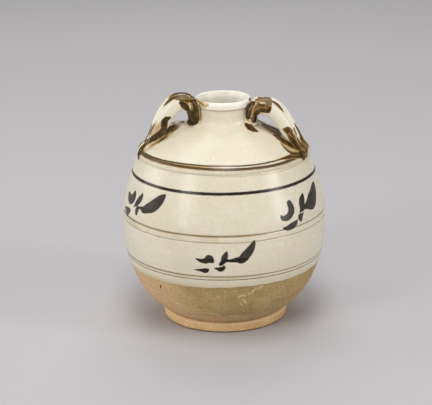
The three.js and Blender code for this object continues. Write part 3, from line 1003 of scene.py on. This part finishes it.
def drawOut(name, rings, flip):
    # a disc drawn out ring by ring, each new ring set to its section, and then smoothed
    rings = [ring * (flip, 1, 1) for ring in rings]
    bpy.ops.object.select_all(action="DESELECT")
    bpy.ops.mesh.primitive_circle_add(vertices=len(rings[0]), radius=1, fill_type="NGON")
    piece = bpy.context.object
    piece.name = piece.data.name = name
    putBack(piece, rings[0])
    bpy.ops.object.mode_set(mode="EDIT")
    bpy.ops.mesh.select_all(action="SELECT")
    for last, ring in zip(rings, rings[1:]):
        bpy.ops.mesh.extrude_region_move()
        mesh = bmesh.from_edit_mesh(piece.data)
        for corner in (v for v in mesh.verts if v.select):
            nearest = np.argmin(np.linalg.norm(last - np.array(corner.co) / mm, axis=1))
            corner.co = Vector(ring[nearest]) * mm
        bmesh.update_edit_mesh(piece.data)
    bpy.ops.mesh.select_all(action="SELECT")
    bpy.ops.mesh.normals_make_consistent(inside=False)
    bpy.ops.object.mode_set(mode="OBJECT")
    alone(piece)
    soften = piece.modifiers.new("soften", "SUBSURF")
    soften.levels = soften.render_levels = 2
    bpy.ops.object.modifier_apply(modifier=soften.name)
    return piece


def strand(label, handle, where, side, flip):
    rings = []
    for t in np.linspace(0, 1, drawing["strandRings"]):
        (radius, height, thick, pitch, turn), run = rowAt(handle["strap"], t)
        angle = math.radians(turn) + side * pitch / radius
        thick += drawing["wander"] * noise.noise(Vector((t * 5, side * 7.3, flip * 3.1)))
        wide = (pitch + drawing["overlap"]) * drawing["fuller"]
        rings.append(ovalRing((radius, height), run, thick * drawing["fuller"], wide, angle))
    return drawOut(f"{label}_{where}_strand", roundedEnds(rings), flip)


def rootWad(label, handle, flip):
    rings = []
    for part in np.linspace(-1, 1, drawing["endRings"]):
        size = math.sqrt(1 + wad["blunt"] - part * part)
        angle = math.radians(handle["wadTurn"] + part * wad["halfSpan"])
        rings.append(ovalRing((wad["radius"], wad["height"]), (0, 1), 2 * wad["reach"] * size, 0.01, angle))
        for spot, phase in zip(rings[-1], np.linspace(0, 2 * math.pi, drawing["sides"], endpoint=False)):
            spot[2] += wad["rise"] * size * math.sin(phase)
    return drawOut(f"{label}_root_wad", rings, flip)


def tailTongue(label, handle, flip):
    rings = []
    for t in np.linspace(0, 1, drawing["endRings"]):
        (radius, height, *section), run = rowAt(tongue, t)
        thick, wide = np.array(section) * drawing["fuller"]
        angle = math.radians(handle["tongueTurn"] + handle["tongueDrift"] * t)
        rings.append(ovalRing((radius, height), run, thick, wide, angle))
    return drawOut(f"{label}_tail_tongue", roundedEnds(rings), flip)


def makeHandle(label, handle, flip):
    material = handleGlaze(label + "HandleGlaze")
    strands = [(strand(label, handle, where, side, flip), where + "_strand", "splashed_glaze")
               for where, side in (("back", -1), ("middle", 0), ("front", 1))]
    ends = [(rootWad(label, handle, flip), "root_pad", "brown_glaze"),
            (tailTongue(label, handle, flip), "tail", "brown_glaze")]
    for piece, node, slot in strands + ends:
        finishPiece(piece, [f"{label}_handle_{node}"], material, smoothAngle=60)
        glazed[label].append(piece)


# Glaze marks by the handles, on the straps or on the jar, picked one by one: chains of pixels of the photo
# with half widths in pixels. "iron" is thick pigment, "brown" a wash of it, "line" a dark run in a groove
# with painted shade in it, and "amber" glaze stained light. The wear kind is pigment thinned to gold and
# painted highlights.
# On the jar some iron and brown chains are painted shadow in the crease under a strap, over brown glaze.
markKinds = ("iron", "brown", "line", "amber")
markWrap = (1, 0.4, 1)     # front to back counts for less, so that a mark wraps round what it lies on
thinningAndHighlightDepth = 0.35           # mm that the thinning and the painted highlights reach into a mark
marks = {
    ("left", "strap", "iron"): [
        [(181, 102.6, 1.8), (183.5, 105, 3.2), (186.5, 108, 3), (188.8, 112, 3.2), (189.6, 117, 3.4),
         (190, 121.5, 3.6)],
        [(188.5, 122.6, 2.4), (192, 123.4, 2.4), (196, 122, 2.4), (198, 119, 1.8)],
        [(191.5, 97.5, 1.8), (194, 98.5, 2.4), (194.4, 102, 2.4), (195.2, 106, 2.8), (195.6, 111, 3.2),
         (196, 116, 3.2), (196, 120, 3)],
        [(180, 100.4, 0.8), (185, 100.4, 1.4), (188, 101, 1.6), (192, 101, 2.2)],
        [(192, 110.5, 1), (192.4, 114, 2.4), (192.6, 119, 3)],
        [(169.5, 117.8, 1.6), (166.5, 119, 2.6), (164.6, 121.5, 3.3), (164.2, 125.5, 3.3), (164, 129, 3.4),
         (161.6, 133, 3.8), (157.6, 136, 3.4), (153.5, 138.4, 3), (151, 139.8, 2.2)],
        [(151, 140.5, 1.9), (147.5, 142.4, 1.6), (144.6, 144.4, 1.7), (142.6, 147, 2.1), (140.4, 150.6, 2.5),
         (138.8, 154, 2.3), (138.3, 157.6, 1.4)],
    ],
    ("left", "strap", "brown"): [
        [(169.6, 98.4, 1), (173, 95.8, 1.8), (178, 94, 2.2), (184, 93.8, 2.2), (189, 95.4, 2)],
        [(172, 99, 1), (178, 98, 1.6), (184, 98, 1.8), (190, 99, 2)],
        [(187, 104, 2.8), (191.5, 108, 3.6), (192, 118, 4.2)],
    ],
    # dark runs in the grooves between the strands, with painted shade in those grooves
    ("left", "strap", "line"): [
        [(171.5, 95.4, 0.4), (175, 94, 0.9), (179, 93.2, 1.1), (184, 93.2, 1.1), (188, 94.4, 0.9),
         (191, 96.2, 0.7)],
        [(164, 106, 0.4), (166.5, 103, 1), (170, 100, 1.3), (173, 98.2, 1.3), (177, 96.7, 1.3),
         (182, 96.1, 1.2), (187, 96.4, 1.1), (191, 97.4, 1.1)],
        [(176, 99.4, 0.3), (179, 99.6, 0.6), (184, 99.8, 0.8)],
        [(151.6, 121, 0.3), (151.3, 124, 0.7), (150.4, 128.5, 0.8), (149, 133, 0.8), (147, 137.5, 0.8),
         (144.8, 142, 0.9)],
        [(157.2, 121, 0.2), (154.6, 124.4, 0.7), (152.8, 127.5, 0.8), (151.4, 131, 0.9), (150.2, 134.5, 1),
         (148.8, 138, 1), (146, 141.6, 1)],
    ],
    ("left", "strap", "amber"): [
        [(165, 133.6, 1.5), (161, 137.4, 2.4), (156, 141, 2.4), (150, 144.6, 2.2)],
        [(168, 100.4, 1.4), (174, 97.6, 2.2), (180, 97, 2.6), (187, 97.6, 2.4)],
        [(161, 122.5, 1.4), (158, 126, 3), (155.5, 130, 3.4), (153, 134.4, 2.8)],
        [(199.2, 108, 1.2), (200.2, 114, 1.6), (199.6, 120, 1.4)],
        [(149, 141, 2), (144, 146, 2.6), (140, 154, 2.6)],
    ],
    # pigment thinned to gold, and painted highlights on the strands
    ("left", "strap", "thinningAndHighlight"): [
        [(189.6, 103.4, 0.8), (190.2, 106.4, 1.1), (190.2, 108.4, 0.5)],
        [(158, 127.6, 1), (155.4, 131.4, 1.2), (153, 134, 0.6)],
        [(200.4, 109, 0.8), (201, 114, 1), (200.4, 120, 0.8)],
    ],
    ("left", "jar", "iron"): [
        # painted shadow in the crease under the strap, over brown glaze
        [(184, 121, 0.5), (180, 123, 1), (175.5, 125.2, 1.4), (171, 127.7, 1.7), (167, 129.6, 2.1),
         (163.5, 131.8, 1.8)],
        [(171.5, 122.6, 0.9), (174, 122.4, 1.1)],
        [(143.4, 146, 1.6), (140.6, 150.6, 2.6), (139, 154, 2.4), (138.6, 158, 1.4)],
    ],
    ("left", "jar", "brown"): [
        # painted shade on the shoulder below that crease, over brown glaze
        [(184, 122.4, 0.8), (178, 125.2, 1.6), (172, 128.4, 2), (166, 132, 2)],
        [(177.5, 127.4, 0.5), (174.5, 129.2, 1.4), (171, 131.4, 0.9)],
        [(168, 136.6, 0.4), (163, 139.4, 0.9), (158.5, 142.6, 0.6)],
        [(193, 97.6, 1.6), (194.8, 101, 1.6)],
    ],
    ("left", "jar", "line"): [
        [(196.4, 102.6, 0.8), (199, 105.6, 0.8), (201.6, 108.6, 0.4)],
        [(197.6, 100.8, 0.3), (201, 103, 0.5), (204, 105.4, 0.3)],
    ],
    ("left", "jar", "amber"): [
        [(185, 123.6, 0.5), (179, 126.6, 1.5), (174, 129.8, 2), (168.5, 133.8, 2.1), (163, 137.8, 2.2),
         (157, 142.2, 2.1), (151, 146.6, 2.1), (145, 150.6, 2.1)],
        [(196.6, 100.6, 2.6), (200, 103, 3.6), (204, 105, 3.4), (207.4, 104.8, 1.8)],
        [(200.4, 109, 1.2), (201, 114, 1.5), (200.4, 121, 1.4), (197, 125, 0.8)],
    ],
    ("right", "strap", "iron"): [
        [(253, 101.5, 2.8), (250.8, 105, 3), (249.2, 109, 3.5), (248.7, 113, 3.5), (248, 116.8, 2.8)],
        [(256.4, 99.6, 1.4), (259.5, 98.5, 1.6), (262.6, 98.6, 1.2)],
        [(258, 100.7, 0.8), (264, 101, 0.9), (269.4, 101.8, 1.4)],
        [(269.6, 100, 1.4), (270.6, 104, 1.2)],
        [(262, 109.8, 2.2), (258.5, 111, 2.6), (256, 114, 2.8), (254.8, 118, 2.6), (254, 121, 1.8)],
        [(270, 107.6, 1.6), (268.4, 111.2, 2.1), (264, 110.4, 2.4), (260, 110.6, 2.3)],
        [(246.6, 124.8, 2), (249.4, 127, 3), (253, 129.2, 2.3), (257.6, 131.2, 0.7)],
        [(288.8, 135.4, 1.2), (291.4, 138.6, 2.2), (294, 142, 2.4), (297.4, 146.4, 2.4), (300, 151, 2.4)],
        [(298, 149.6, 1.4), (301, 152.6, 3), (303.8, 154.6, 3.6), (304, 158, 2)],
    ],
    ("right", "strap", "brown"): [
        [(257, 99.6, 2.2), (264, 99, 3), (268, 99.2, 3), (270.6, 100, 2.4)],
        [(256, 104.4, 2.4), (254, 109, 2.4), (252.6, 114, 2.2), (252.2, 118, 1.8)],
        [(257, 102.6, 1.4), (263, 102.6, 1.8), (270, 103, 2)],
        [(270, 102.4, 1.7), (268.2, 106.4, 3.4), (263, 106, 3.9), (258.4, 107.5, 3.4), (256, 111, 3.8),
         (254.6, 116, 3.8), (253.8, 120, 2.6)],
        [(285, 129.8, 2), (288, 130.4, 3.6), (291.4, 131.4, 2)],
        [(288.2, 133.6, 1.7), (291.4, 136.6, 3.6), (293.6, 141, 3.7), (296.6, 144.4, 3.5), (299, 148, 3)],
        [(303, 139, 1.4), (305.2, 144, 2.4), (306.6, 150, 2.8), (306.4, 155, 2.6)],
        [(297, 128, 1.2), (300, 134.6, 2.4), (302.2, 141, 3), (303.6, 147, 3.6), (304.4, 153, 3.4)],
        [(279, 138.4, 1.4), (282, 140.2, 2), (286.4, 142.6, 2.5), (291, 145.6, 2.2), (295.4, 148, 1.8)],
    ],
    # dark runs in the grooves between the strands, with painted shade in those grooves
    ("right", "strap", "line"): [
        [(271, 99.9, 1), (274.5, 102.1, 1.2), (277.5, 104.6, 1.1), (280.4, 108, 1), (283.2, 111.6, 0.4)],
        [(294.4, 123.2, 0.3), (296.2, 127, 0.8), (298.8, 131.6, 1), (300.8, 135.8, 1), (302.8, 140, 1)],
        [(293.8, 127.8, 0.3), (295.4, 133, 0.9), (298, 138.6, 1.1), (300.6, 143.6, 1.2), (302, 147, 1.2)],
        [(303, 137, 0.4), (304.6, 142, 0.8), (305.8, 147.4, 0.9), (306.4, 152, 0.9)],
    ],
    ("right", "strap", "amber"): [
        [(246.5, 119.6, 1.6), (250, 120.6, 1.6), (253.6, 122.8, 1.2)],
        [(279, 131, 1.2), (282, 135, 2), (285, 139, 2)],
        [(294, 129, 1.2), (296, 136, 2.2), (299, 142, 2.8), (302, 148, 3)],
    ],
    # painted highlights on the glossy strands, and pigment thinned to gold
    ("right", "strap", "thinningAndHighlight"): [
        [(259.6, 103.1, 0.3), (262, 102.9, 0.6), (265, 103.1, 0.4)],
        [(256.6, 102.4, 0.3), (254.4, 106, 0.5), (252.8, 109.8, 0.5), (252, 113.4, 0.4), (251.6, 117, 0.3)],
        [(299.4, 138.4, 0.4), (300.8, 142, 0.5), (301.6, 144.4, 0.3)],
    ],
    ("right", "jar", "iron"): [
        [(246.6, 124.8, 2), (249.4, 127, 3), (253, 129.2, 2.3), (257.6, 131.2, 0.7)],
        # painted shadow in the crease under the strap, over brown glaze
        [(259.4, 120.2, 0.8), (261.6, 122.2, 1.3), (265, 124.3, 1.5), (270, 126.7, 1.6), (275, 128.4, 1.8),
         (279.4, 130.4, 2), (282.4, 133.2, 1.6)],
        [(276, 160.6, 0.4), (283, 158.6, 1), (289, 157, 1.5), (294.4, 155.6, 2), (299, 155, 2.8),
         (303, 155, 3), (303.6, 158.4, 2)],
    ],
    ("right", "jar", "brown"): [
        [(303.4, 140, 1.2), (305.4, 145, 2.2), (306.6, 150, 2.8), (306, 155, 2.6)],
        # painted shade on the shoulder below that crease, over brown glaze
        [(262, 124.6, 1.2), (268, 127.8, 2.4), (274, 130.6, 2.8), (280, 133.6, 3), (285, 138, 3)],
        [(273.6, 134.6, 0.9), (278, 137.2, 2.4), (282, 140, 2.7), (286.4, 142.4, 2.8), (291, 145.4, 2.4),
         (295.4, 147.8, 2)],
        [(250, 99.4, 1.6), (251.8, 100.6, 2)],
        [(303, 149, 2), (305, 153, 2.6)],
    ],
    ("right", "jar", "line"): [
        [(281, 143.4, 0.4), (284.6, 147.8, 0.8), (288.4, 151.2, 1), (292.6, 153.6, 1.3), (297, 153.8, 1.2)],
        [(295.6, 150.6, 0.4), (297.4, 148.8, 0.3)],
    ],
    ("right", "jar", "amber"): [
        [(280, 141.6, 0.8), (284.4, 145.4, 1.9), (288.6, 147.8, 2.7), (293, 150, 2.9), (297.6, 151.8, 2.6)],
        [(262, 126.4, 1.4), (270, 131, 2.4), (276, 134, 2)],
        [(246, 120.6, 1.4), (251, 122.6, 1.2)],
    ],
}


def markDistance(spots, chains):
    # distance to the edge of the nearest mark, on the side that it lies on
    best = np.full(len(spots), farAway)
    for side, chain in chains:
        near = np.flatnonzero(spots[:, 0] * (-1 if side == "left" else 1) > 4)
        reached = strokeDistance(spots[near] * markWrap, chain * (*markWrap, 1))
        best[near] = np.minimum(best[near], reached)
    return best


def markGlaze():
    # every piece gets its distances to the marks, for the shader
    bpy.context.view_layer.update()
    straps = glazed["left"] + glazed["right"]
    chains = {}
    for (side, part, kind), group in marks.items():
        pieces, before = (glazed["jar"], ()) if part == "jar" else (straps, glazed["jar"])
        chains[side, part, kind] = [(side, chainOn(chain, pieces, before)) for chain in group]
    for group, pieces in glazed.items():
        part, sides = ("jar", ("left", "right")) if group == "jar" else ("strap", (group,))
        near = {kind: sum((chains.get((side, part, kind), []) for side in sides), [])
                for kind in (*markKinds, "thinningAndHighlight")}
        for piece in pieces:
            spots = places(piece)
            # thinned pigment and painted highlights lighten the iron and brown marks
            thinningAndHighlight = np.minimum(-markDistance(spots, near["thinningAndHighlight"]), thinningAndHighlightDepth)
            for kind in markKinds:
                best = markDistance(spots, near[kind])
                mark(piece, kind, np.maximum(best, thinningAndHighlight) if kind in ("iron", "brown") else best)


studio = {
    "floor": rgb(190, 187, 189),
    "floorSize": 14,
    "floorRoughness": 0.9,
    "airColour": (0.93, 0.93, 0.95, 1),
    "air": 0.19,
    # name, place, aimed at, width, height, power, seen in the glaze
    "lights": [
        ("topStrip", (0.0, -0.6, 1.6), (0, 0, 0.1), 0.5, 1.5, 13.0, True),
        ("overhead", (0.0, 0.15, 1.75), (0, 0, 0), 1.5, 1.5, 2.4, True),
        ("rearTop", (0.0, 1.3, 1.5), (0, 0, 0.1), 1.2, 1.2, 11.3, True),
        ("leftTall", (-1.35, -1.35, 0.75), (0, 0, 0.1), 0.5, 1.3, 12.2, True),
        ("rightTall", (1.72, -0.78, 0.75), (0, 0, 0.1), 0.5, 1.3, 13.6, True),
        ("leftSide", (-1.7, 0.3, 0.7), (0, 0, 0.1), 0.9, 0.9, 7.4, True),
        ("frontLow", (0.0, -1.9, 0.35), (0, 0, 0.05), 0.8, 0.8, 2.9, False),
    ],
}

shot = {
    "target": (-0.0063, 0.0, 0.0905),
    "elevation": 17.8,
    "distance": 1.2576,
    "roll": -0.8,
    "lens": 133.3,
    "sensor": 36,
    "clip": (0.05, 40),
}


def makeStudio():
    bpy.ops.object.select_all(action="DESELECT")
    bpy.ops.mesh.primitive_plane_add(size=studio["floorSize"])
    floor = bpy.context.object
    floor.name = "studio_floor"
    floor.data.materials.append(Paint("studioFloor").finish(studio["floor"], studio["floorRoughness"]))
    world = bpy.data.worlds.new("studioAir")
    world.use_nodes = True
    air = world.node_tree.nodes["Background"]
    air.inputs["Color"].default_value = studio["airColour"]
    air.inputs["Strength"].default_value = studio["air"]
    bpy.context.scene.world = world
    for name, place, aim, width, height, power, seen in studio["lights"]:
        lamp = bpy.data.lights.new(name, "AREA")
        lamp.shape, lamp.size, lamp.size_y, lamp.energy = "RECTANGLE", width, height, power
        holder = bpy.data.objects.new(name, lamp)
        holder.location = place
        holder.rotation_euler = (Vector(aim) - Vector(place)).to_track_quat("-Z", "Y").to_euler()
        holder.visible_glossy = seen
        bpy.context.scene.collection.objects.link(holder)
    bpy.context.scene.view_settings.view_transform = "Standard"


def makeCamera():
    lens = bpy.data.cameras.new("photoCamera")
    lens.lens, lens.sensor_width = shot["lens"], shot["sensor"]
    lens.clip_start, lens.clip_end = shot["clip"]
    camera = bpy.data.objects.new("photoCamera", lens)
    rise = math.radians(shot["elevation"])
    back = Vector((0, -math.cos(rise), math.sin(rise)))
    camera.location = Vector(shot["target"]) + back * shot["distance"]
    spin = Quaternion((0, 0, 1), math.radians(shot["roll"]))
    camera.rotation_euler = ((-back).to_track_quat("-Z", "Y") @ spin).to_euler()
    bpy.context.scene.collection.objects.link(camera)
    bpy.context.scene.camera = camera


makeCamera()
makeStudio()
print("studio ready")
turnedFoot()
lowerBowl()
upperBowl()
shoulderCord()
shoulderCone()
neckCollar()
rolledRim()
makeHandle("left", leftHandle, -1)
makeHandle("right", rightHandle, 1)
markGlaze()
print("all pieces made and glazed")
